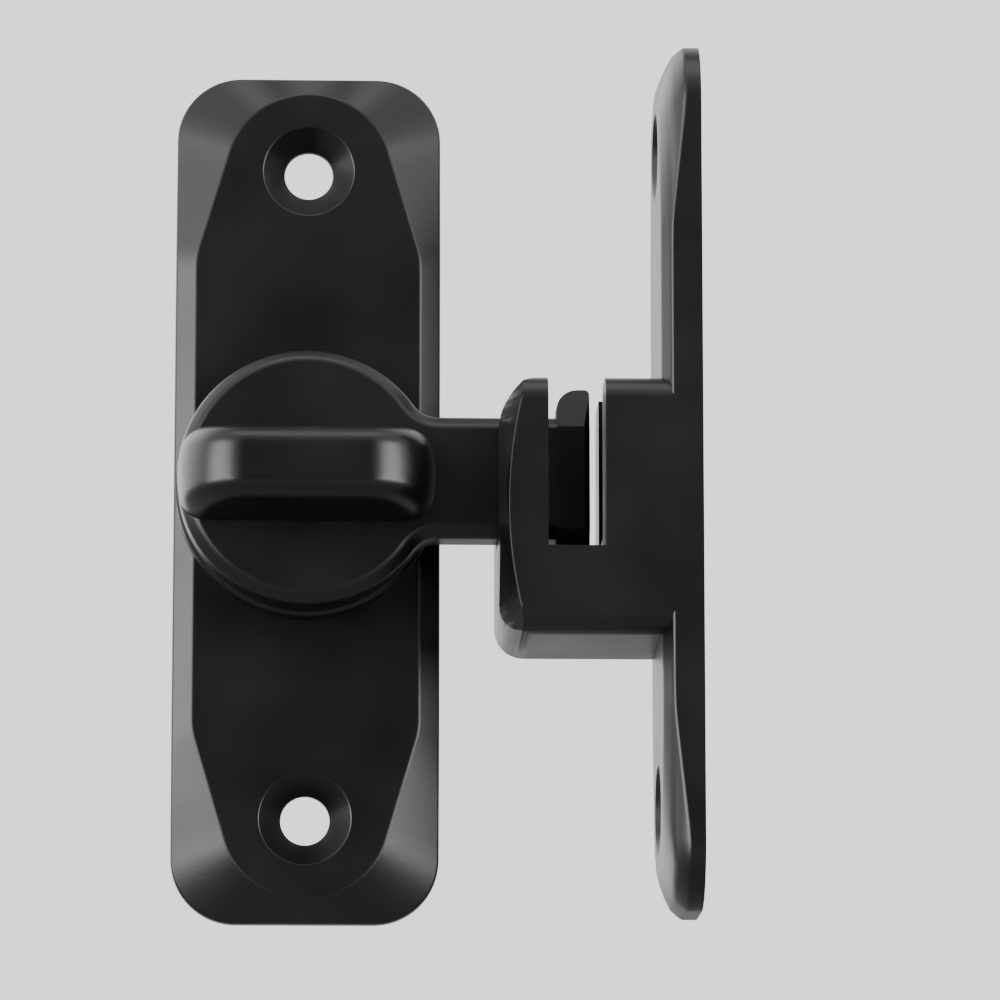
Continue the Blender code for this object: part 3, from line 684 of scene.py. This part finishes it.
def base_plate_shape(plates, base):
    """Door plate with the hub's raised seat, the bush's bore and a rear pocket."""
    radius = HUB_RADIUS + base.seat_step
    foot = plates.rim_middle - SINK
    seat = [(0.0, SEAT_TOP), (radius - base.seat_edge, SEAT_TOP), (radius, SEAT_TOP - base.seat_edge)]
    seat += [(radius, foot), (0.0, foot)]
    seat = softened(seat, [0, SEAT_CORNER, SEAT_CORNER, 0, 0], closed=False)
    flange = FLANGE_RADIUS + base.flange_gap
    floor = SEAT_TOP - base.flange_sunk - base.flange_gap
    web, pocket = base.web_bore / 2, base.pocket / 2
    bore = [(0.0, SEAT_TOP + OVERRUN), (flange, SEAT_TOP + OVERRUN), (flange, floor), (web, floor)]
    bore += [(web, POCKET_ROOF), (pocket, POCKET_ROOF), (pocket, -OVERRUN), (0.0, -OVERRUN)]
    bore = softened(bore, [0, 0, BORE_CORNER, BORE_CORNER, BORE_CORNER, CAST_FILLET, 0, 0], closed=False)
    body = combined(plate_body(plates, base, BASE_WIDTH), [turned(seat, Matrix.Identity(4))], "UNION")
    cutters = plate_cutters(plates, base, BASE_WIDTH)
    body = combined(body, [*cutters, turned(bore, Matrix.Identity(4))], "DIFFERENCE")
    bmesh.ops.transform(body, matrix=ON_DOOR, verts=body.verts)
    return body


def toggle_outline(toggle):
    """Hub and arm seen from the front, anticlockwise from the arm's lower end."""
    half, root = toggle.arm_height / 2, toggle.root_radius
    meets = math.degrees(math.asin((half + root) / (HUB_RADIUS + root)))
    fillet_at = (HUB_RADIUS + root) * math.cos(math.radians(meets))
    points = [(ARM_REACH - SINK, -half), (ARM_REACH - SINK, half)]
    points += arc((fillet_at, half + root), root, 270, 180 + meets, ROOT_STEPS)
    points += arc((0, 0), HUB_RADIUS, meets, 360 - meets, ROUND_STEPS)[1:-1]
    points += arc((fillet_at, -half - root), root, 180 - meets, 90, ROOT_STEPS)
    return points


def head_shape(toggle, middle):
    """Hammer head across the arm's end, its ears thinner towards their tips."""
    half = toggle.thickness / 2 - 2 * FINE    # a hair thinner than the arm, so that no two faces coincide
    tip = toggle.ear_tip / 2
    shoulder = toggle.arm_height / 2 - toggle.chamfer
    top = toggle.arm_height / 2 + toggle.ear
    outline = [(half, -shoulder), (half, shoulder), (tip, top), (-tip, top), (-half, shoulder)]
    outline += [(-half, -shoulder), (-tip, -top), (tip, -top)]
    start = ARM_REACH - toggle.head_length
    along_arm = Matrix(((0, 0, 1, 0), (-1, 0, 0, -middle), (0, 1, 0, 0), (0, 0, 0, 1)))
    bm = prism(outline, start, ARM_REACH, along_arm)

    def tip_edge(at):
        """Picks the edge across each ear's tip, on one side of the head."""
        return lambda edge: all_near(edge, 0, at) and all(abs(vert.co.z) > top - FINE for vert in edge.verts)

    def front_end(edge):
        """Edges at the arm's end on the front of the head."""
        return all_near(edge, 0, ARM_REACH) and all(-vert.co.y > middle + tip - FINE for vert in edge.verts)

    bevel(bm, tip_edge(start), toggle.ear_round, 8)
    bevel(bm, tip_edge(ARM_REACH), EAR_OUTER_TIP, 5)
    bevel(bm, front_end, toggle.end_chamfer, 1)

    def long_corner(edge):
        """Long sharp edges, except round the head's inner end."""
        return sharp(edge, 20) and edge.calc_length() > 1.0 * MM and not all_near(edge, 0, start)

    bevel(bm, long_corner, HEAD_CORNER, 2)
    return bm


def grip_shape(toggle, face):
    """Thumb grip: a drafted bar with soft edges, its arched ends following the hub's rim."""
    half_length, half_flat = HUB_RADIUS - toggle.grip_setback, toggle.grip_flat / 2
    shoulder, height = half_length - half_flat, GRIP_TOP - face
    arch = [
        (half_flat + shoulder * math.cos(turn), height * math.sin(turn))
        for turn in (math.radians(90) * step / GRIP_STEPS for step in range(GRIP_STEPS + 1))
    ]
    outline = [(half_length, -toggle.chamfer)] + arch
    outline += [(-a, b) for a, b in reversed(outline)]
    upright = Matrix(((1, 0, 0, 0), (0, -1, 0, -face), (0, 0, -1, 0), (0, 0, 0, 1)))
    half_root = toggle.grip_root / 2
    bm = prism(outline, -half_root, half_root, upright)

    def side_rim(edge):
        """Edges round both flat sides, except along the sunk foot."""
        foot = all(-vert.co.y < face - toggle.chamfer / 2 for vert in edge.verts)
        return not foot and abs(edge.verts[0].co.z - edge.verts[1].co.z) < FINE

    bevel(bm, side_rim, toggle.grip_edge, 8)
    across = [edge for edge in bm.edges if abs(edge.verts[0].co.z - edge.verts[1].co.z) > half_root]
    bmesh.ops.subdivide_edges(bm, edges=across, cuts=GRIP_CUTS, use_grid_fill=True)
    draft = toggle.grip_crown / toggle.grip_root - 1
    for vert in bm.verts:
        rise = (-vert.co.y - face) / height
        vert.co.z *= 1 + draft * rise
        beyond_flat = max(abs(vert.co.x) - half_flat, 0.0) / shoulder
        rim_falls_back = half_length - math.sqrt(half_length ** 2 - vert.co.z ** 2)
        vert.co.x -= math.copysign(beyond_flat * rim_falls_back, vert.co.x)
    return bm


def key_outline(diameter, flats):
    """Round with two flats, as the spigot's end has."""
    corner = math.degrees(math.asin(flats / diameter))
    right = arc((0, 0), diameter / 2, -corner, corner, 20)
    return right + arc((0, 0), diameter / 2, 180 - corner, 180 + corner, 20)


def toggle_shape(toggle):
    """The turning casting: hub, arm, hammer head, thumb grip and spigot."""
    face = HUB_BACK + toggle.thickness
    middle = HUB_BACK + toggle.thickness / 2
    body = prism(toggle_outline(toggle), HUB_BACK, face)
    bevel(body, lambda edge: all_near(edge, 1, -face), toggle.chamfer, 1)
    rims = (-face, -face + toggle.chamfer)
    bevel(body, lambda edge: any(all_near(edge, 1, rim) for rim in rims), toggle.edge, 3)
    bevel(body, lambda edge: all_near(edge, 1, -HUB_BACK), HUB_BACK_EDGE, 3)
    spigot = [(0.0, HUB_BACK + SINK), (toggle.spigot / 2, HUB_BACK + SINK)]
    spigot += [(toggle.spigot / 2, toggle.key_shoulder), (0.0, toggle.key_shoulder)]
    spigot = softened(spigot, [0, 0, SPIGOT_SHOULDER, 0], closed=False)
    key = prism(key_outline(toggle.key, toggle.key_flats), SPIGOT_END, toggle.key_shoulder + SINK)
    lumps = [head_shape(toggle, middle), grip_shape(toggle, face), turned(spigot, steps=HOLE_STEPS), key]
    body = combined(body, lumps, "UNION")
    bore, opens = toggle.screw_bore / 2, SPIGOT_END - OVERRUN
    depth = HUB_BACK + 0.1 * MM    # clear of the hub's back, so that no two faces coincide
    hole = [(0.0, depth), (bore, depth), (bore, opens), (0.0, opens)]
    return combined(body, [turned(hole, steps=HOLE_STEPS)], "DIFFERENCE")


def boss_shape(plates, strike):
    """Block that stands out from the jamb plate, its free end relieved behind an arched crease."""
    near, far = STRIKE_NEAR, STRIKE_FAR
    low, high = -strike.boss_bottom, strike.boss_top
    centre_z = (low + high) / 2
    section = softened(rectangle((near - far) / 2, (high - low) / 2), strike.edge_radius, 12)
    along = Matrix(((0, 0, 1, 0), (-1, 0, 0, STRIKE_CENTRE_Y), (0, 1, 0, centre_z), (0, 0, 0, 1)))
    sunk = STRIKE_FACE - plates.hollow_depth - SINK
    boss = prism(section, BOSS_START, sunk, along)

    below, above, behind = low - FINE, high + FINE, sunk + OVERRUN
    corners = [(BOSS_START, below), (behind, below), (behind, above), (BOSS_START, above)]
    rounds = softened(corners, [strike.bottom_corner, 0, 0, strike.top_corner], 12)
    arch_at = Vector((BOSS_START + strike.crease_inset + strike.end_arc, 0, centre_z))
    rim, root = strike.end_arc, strike.end_arc + strike.relief_fall
    hollowed = [(0.0, near + OVERRUN), (rim, near + OVERRUN), (rim, near), (root, near - strike.relief_depth)]
    hollowed += [(root, far - OVERRUN), (0.0, far - OVERRUN)]
    limits = [
        prism(rounds, far - OVERRUN, near + OVERRUN),
        turned(hollowed, Matrix.Translation(arch_at) @ ON_DOOR, 4 * ROUND_STEPS),
    ]
    boss = combined(boss, limits, "INTERSECT")

    crease_zone = BOSS_START + 3 * MM

    def on_crease(edge):
        """Arched edge between the relief and the boss's front."""
        by_end = all(vert.co.x < crease_zone for vert in edge.verts)
        return all_near(edge, 1, -near) and sharp(edge, 8) and by_end

    bmesh.ops.dissolve_limit(boss, angle_limit=math.radians(0.3), verts=boss.verts, edges=boss.edges)
    bevel(boss, on_crease, strike.crease, 2)
    return boss


def slot_cutters(strike, toggle):
    """The channel for the arm, its deeper part for the lower ear, and the slot from front to back."""
    middle = HUB_BACK + toggle.thickness / 2
    near, far = STRIKE_NEAR, STRIKE_FAR
    slot_start = ARM_REACH - toggle.head_length - strike.slot_gap
    slot_end = ARM_REACH + strike.slot_gap
    half_channel = toggle.thickness / 2 + strike.channel_gap
    front, rear = -middle - half_channel, -middle + half_channel
    sill = toggle.arm_height / 2 + strike.sill_gap
    tip = toggle.arm_height / 2 + toggle.ear
    above = strike.boss_top + strike.opening
    return [
        block((BOSS_START - OVERRUN, front, -sill), (slot_end + strike.pocket, rear, above)),
        block((slot_start, front, -tip - strike.ear_gap), (slot_end, rear, above)),
        block((slot_start, -near - OVERRUN, -tip + strike.floor_lift), (slot_end, OVERRUN - far, above)),
    ]


def strike_shape(plates, strike, toggle):
    """Jamb plate with the boss whose slot and channel take the toggle's head."""
    on_jamb = Matrix((
        (0, 0, -1, STRIKE_FACE), (-1, 0, 0, STRIKE_CENTRE_Y), (0, 1, 0, STRIKE_MIDDLE), (0, 0, 0, 1),
    ))
    body = plate_body(plates, strike, STRIKE_WIDTH)
    cutters = plate_cutters(plates, strike, STRIKE_WIDTH)
    for bm in (body, *cutters):
        bmesh.ops.transform(bm, matrix=on_jamb, verts=bm.verts)
    body = combined(body, [boss_shape(plates, strike)], "UNION")
    return combined(body, cutters + slot_cutters(strike, toggle), "DIFFERENCE")


# -------------------------------------------------------- the pivot hardware

def ring_section(bore, outside, low, high, edge):
    """Section of a washer or sleeve with soft edges."""
    corners = [(bore / 2, low), (outside / 2, low), (outside / 2, high), (bore / 2, high)]
    return softened(corners, edge, 3)


def bush_shape(toggle):
    """Flanged acetal bush."""
    wall = flange = 0.9 * MM
    bore = toggle.spigot / 2 + RUNNING_GAP
    outside = bore + wall
    flange_back = FLANGE_TOP - flange
    corners = [(bore, POCKET_ROOF), (outside, POCKET_ROOF), (outside, flange_back)]
    corners += [(FLANGE_RADIUS, flange_back), (FLANGE_RADIUS, FLANGE_TOP), (bore, FLANGE_TOP)]
    return turned(softened(corners, 0.1 * MM, 3))


def flat_washer_shape(node, bore):
    """Pressed washer, its edges slightly rounded by the punch."""
    low, high = out_from_door(node)
    return turned(ring_section(bore, size_of(node, 0), low, high, 0.12 * MM))


def wave_washer_shape(bore, waves=3):
    """Spring washer bent into waves."""
    low, high = out_from_door("wave_washer")
    strip = 0.4 * MM
    height, middle = (high - low - strip) / 2, (low + high) / 2
    outside = size_of("wave_washer", 0)
    bm = turned(ring_section(bore, outside, middle - strip / 2, middle + strip / 2, 0.08 * MM))
    for vert in bm.verts:
        vert.co.y += height * math.cos(waves * math.atan2(vert.co.z, vert.co.x))
    return bm


def keyed_washer_shape(toggle):
    """Washer with a double-D hole that turns with the toggle."""
    low, high = out_from_door("keyed_washer")
    radius, punched_edge = size_of("keyed_washer", 0) / 2, 0.15 * MM
    profile = [(0.0, low), (radius, low), (radius, high), (0.0, high)]
    disc = turned(softened(profile, [0, punched_edge, punched_edge, 0], 3, closed=False))
    play = 0.6 * MM
    hole = prism(key_outline(toggle.key + play, toggle.key_flats + play), low - OVERRUN, high + OVERRUN)
    return combined(disc, [hole], "DIFFERENCE")


def screw_shape():
    """Low-headed screw with a cross recess."""
    low, high = out_from_door("retaining_screw")
    head, shank, point = size_of("retaining_screw", 0) / 2, 2.0 * MM, 0.4 * MM
    under, rim, dome = low + 1.2 * MM, low + 0.6 * MM, 1.6 * MM
    profile = [(0.0, high), (shank - point, high), (shank, high - point), (shank, under), (head, under)]
    profile += [(head, rim), (head - dome, low), (0.0, low)]
    profile = softened(profile, [0, 0, 0, 0.1 * MM, 0.15 * MM, 0.5 * MM, dome, 0], 6, closed=False)
    screw = turned(profile, steps=HOLE_STEPS)
    half_wing, reach, depth, floor_share = 0.45 * MM, 2.3 * MM, 0.6 * MM, 0.55
    cross = [(reach, -half_wing), (reach, half_wing), (half_wing, half_wing)]
    cross += [(half_wing, reach), (-half_wing, reach), (-half_wing, half_wing)]
    cross += [(-a, -b) for a, b in cross]
    recess = prism(cross, low - OVERRUN, low + depth)
    for vert in recess.verts:
        if -vert.co.y > low:
            vert.co.x *= floor_share
            vert.co.z *= floor_share
    return combined(screw, [recess], "DIFFERENCE")


# ---------------------------------------------------------------- operators

class LATCH_OT_base_plate(bpy.types.Operator):
    """Build the door plate"""

    bl_idname = "latch.base_plate"
    bl_label = "Door plate"

    def execute(self, context):
        scene = context.scene
        coat = satin_black_coat("satin_black_coat_plate", scene.latch_finish)
        shape = base_plate_shape(scene.latch_plates, scene.latch_base)
        finished("door_plate_casting", shape, coat, PLATES_BODY, "base_plate")
        return {"FINISHED"}


class LATCH_OT_toggle(bpy.types.Operator):
    """Build the turning casting with its grip, arm and hammer head"""

    bl_idname = "latch.toggle"
    bl_label = "Toggle"

    def execute(self, context):
        scene = context.scene
        coat = satin_black_coat("satin_black_coat_toggle", scene.latch_finish)
        shape = toggle_shape(scene.latch_toggle)
        finished("toggle_casting", shape, coat, TOGGLE_BODY, "toggle")
        return {"FINISHED"}


class LATCH_OT_strike(bpy.types.Operator):
    """Build the strike with its slotted boss"""

    bl_idname = "latch.strike"
    bl_label = "Strike"

    def execute(self, context):
        scene = context.scene
        coat = satin_black_coat("satin_black_coat_strike", scene.latch_finish)
        shape = strike_shape(scene.latch_plates, scene.latch_strike, scene.latch_toggle)
        finished("strike_casting", shape, coat, PLATES_BODY, "strike_plate")
        return {"FINISHED"}


class LATCH_OT_pivot(bpy.types.Operator):
    """Build the bush, washers and screw of the pivot"""

    bl_idname = "latch.pivot"
    bl_label = "Pivot hardware"

    def execute(self, context):
        finish, toggle = context.scene.latch_finish, context.scene.latch_toggle
        bore = toggle.spigot + 2 * RUNNING_GAP
        acetal = turned_acetal("turned_natural_acetal", finish)
        finished("flanged_bush", bush_shape(toggle), acetal, PLATES_BODY, "pivot_bush")
        plated = zinc_plated("zinc_plated_washer_steel", finish, 0.36)
        shape = flat_washer_shape("backing_washer", bore)
        finished("plain_washer", shape, plated, PLATES_BODY, "backing_washer")
        spring, shape = tempered_spring("oiled_spring_steel", finish), wave_washer_shape(bore)
        finished("waved_spring_washer", shape, spring, PLATES_BODY, "wave_washer")
        shape = keyed_washer_shape(toggle)
        finished("double_d_washer", shape, plated, TOGGLE_BODY, "keyed_washer")
        screw = zinc_plated("zinc_plated_screw_steel", finish, 0.34)
        finished("pivot_screw", screw_shape(), screw, TOGGLE_BODY, "retaining_screw")
        return {"FINISHED"}


class LATCH_OT_stage(bpy.types.Operator):
    """Set the pale floor, the soft lights, the surroundings and the camera"""

    bl_idname = "latch.stage"
    bl_label = "Stage"

    def execute(self, context):
        scene = context.scene
        add_floor(scene.latch_finish)
        add_surroundings(scene)
        add_lights()
        add_camera(scene)
        return {"FINISHED"}


# ------------------------------------------------------------------- stage

FLOOR_HALF = 14.0             # half the floor's side
FLOOR_DROP = 2.2              # from the pivot down to the floor
ROOM_GLOOM = 0.003            # what each glow leaves where it doesn't reach
ROOM_ON_MATT = 0.15           # share of the room's light that a matt surface gets
BACKDROP = 1.6                # strength of the room where it is seen directly

# Each glow: the way it lies from the latch, the cosines where it starts and is full, its strength.
ROOM_GLOWS = (
    ((0.0, 1.0, 0.0), 0.1, 0.65, 1.05),
    ((0.0, 0.8, -0.6), 0.66, 0.92, -0.3),
    ((-0.76, 0.62, 0.2), 0.7, 0.95, 1.9),
    ((0.0, 0.0, 1.0), 0.2, 0.9, 0.16),
    ((-0.75, -0.35, 0.56), 0.5, 0.92, 1.3),
    ((0.75, -0.35, 0.56), 0.5, 0.92, 1.2),
    ((-0.80, -0.59, -0.12), 0.85, 0.96, 7.5),
    ((0.76, -0.64, -0.12), 0.86, 0.96, 7.5),
)

# Each soft box: its name, its place in metres, the side of its square and its power in watts.
SOFT_BOXES = (
    ("left_box", (-0.84, -0.68, 0.14), 0.9, 2.5),
    ("right_box", (0.74, -0.78, 0.14), 0.7, 1.5),
    ("top_box", (0.0, -0.25, 0.95), 0.60, 1.5),
)

LENS = 200.9                  # focal length in millimetres, on a sensor this wide
SENSOR = 36.0
CAMERA_PLACE = (0.0002, -0.6224, -0.1134)
CAMERA_TARGET = (0.0219, 0.0, 0.0)


def add_floor(finish):
    """Pale floor well below the latch."""
    bm = bmesh.new()
    bmesh.ops.create_grid(bm, x_segments=1, y_segments=1, size=FLOOR_HALF)
    bmesh.ops.translate(bm, vec=(0, 0, -FLOOR_DROP), verts=bm.verts)
    mesh = bpy.data.meshes.new("studio_floor")
    bm.to_mesh(mesh)
    bm.free()
    paint = {"Base Color": linear(finish.floor), "Roughness": 0.8}
    mesh.materials.append(principled("pale_studio_floor", paint)[0])
    floor = bpy.data.objects.new("studio_floor", mesh)
    bpy.context.collection.objects.link(floor)


def add_surroundings(scene):
    """Pale room: bright behind, a soft bright patch each side in front, even where it is seen directly."""
    world = bpy.data.worlds.new("soft_room")
    scene.world = world
    world.use_nodes = True
    tree = world.node_tree
    background = tree.nodes["Background"]
    place = add_node(tree, "ShaderNodeTexCoord")
    total = None
    for towards, start, full, glow in ROOM_GLOWS:
        along = add_node(
            tree, "ShaderNodeVectorMath", {"operation": "DOT_PRODUCT"},
            links={"Vector": place.outputs["Generated"]},
        )
        along.inputs[1].default_value = Vector(towards).normalized()
        part = add_node(
            tree, "ShaderNodeMapRange", {"interpolation_type": "SMOOTHSTEP"},
            {"From Min": start, "From Max": full, "To Min": ROOM_GLOOM, "To Max": glow},
            {"Value": along.outputs["Value"]},
        ).outputs["Result"]
        if total:
            summed = add_node(tree, "ShaderNodeMath", {"operation": "ADD"})
            tree.links.new(total, summed.inputs[0])
            tree.links.new(part, summed.inputs[1])
            part = summed.outputs["Value"]
        total = part
    sight = add_node(tree, "ShaderNodeLightPath")
    spill = add_node(tree, "ShaderNodeMix", {"data_type": "FLOAT"}, {"B": ROOM_ON_MATT})
    tree.links.new(sight.outputs["Is Diffuse Ray"], spill.inputs["Factor"])
    tree.links.new(total, spill.inputs["A"])
    shown = add_node(tree, "ShaderNodeMix", {"data_type": "FLOAT"}, {"B": BACKDROP})
    tree.links.new(sight.outputs["Is Camera Ray"], shown.inputs["Factor"])
    tree.links.new(spill.outputs["Result"], shown.inputs["A"])
    tree.links.new(shown.outputs["Result"], background.inputs["Strength"])
    background.inputs["Color"].default_value = (1.0, 1.0, 1.0, 1.0)


def add_lights():
    """Soft boxes, each turned to the latch."""
    for name, place, size, power in SOFT_BOXES:
        light = bpy.data.lights.new(name, "AREA")
        light.shape = "SQUARE"
        light.size = size
        light.energy = power
        obj = bpy.data.objects.new(name, light)
        bpy.context.collection.objects.link(obj)
        obj.location = place
        obj.rotation_euler = (-Vector(place)).to_track_quat("-Z", "Y").to_euler()


def add_camera(scene):
    """Long lens a little below the latch, looking up at it."""
    camera = bpy.data.cameras.new("front_camera")
    camera.lens = LENS
    camera.sensor_width = SENSOR
    camera.clip_start = 0.01
    obj = bpy.data.objects.new("front_camera", camera)
    bpy.context.collection.objects.link(obj)
    obj.location = CAMERA_PLACE
    obj.rotation_euler = (Vector(CAMERA_TARGET) - obj.location).to_track_quat("-Z", "Y").to_euler()
    scene.camera = obj


# -------------------------------------------------------------------- panel

GROUPS = (
    ("latch_plates", LatchPlates, "Both plates"),
    ("latch_base", LatchBase, "Door plate"),
    ("latch_toggle", LatchToggle, "Toggle"),
    ("latch_strike", LatchStrike, "Strike"),
    ("latch_finish", LatchFinish, "Finishes"),
)
OPERATORS = (LATCH_OT_base_plate, LATCH_OT_toggle, LATCH_OT_strike, LATCH_OT_pivot, LATCH_OT_stage)


class LATCH_PT_sidebar(bpy.types.Panel):
    """Sizes, colours and build buttons of the latch"""

    bl_idname = "LATCH_PT_sidebar"
    bl_label = "Toggle bolt latch"
    bl_space_type = "VIEW_3D"
    bl_region_type = "UI"
    bl_category = "Latch"

    def draw(self, context):
        for name, group, label in GROUPS:
            column = self.layout.column(align=True)
            column.label(text=label)
            for setting in group.__annotations__:
                column.prop(getattr(context.scene, name), setting)
        for operator in OPERATORS:
            self.layout.operator(operator.bl_idname)


def register():
    for name, group, _ in GROUPS:
        bpy.utils.register_class(group)
        setattr(bpy.types.Scene, name, bpy.props.PointerProperty(type=group))
    for item in (*OPERATORS, LATCH_PT_sidebar):
        bpy.utils.register_class(item)


def unregister():
    for item in (LATCH_PT_sidebar, *reversed(OPERATORS)):
        bpy.utils.unregister_class(item)
    for name, group, _ in reversed(GROUPS):
        delattr(bpy.types.Scene, name)
        bpy.utils.unregister_class(group)


def main():
    """Build every piece."""
    register()
    for operator in OPERATORS:
        group, action = operator.bl_idname.split(".")
        getattr(getattr(bpy.ops, group), action)()


if __name__ == "__main__":
    main()
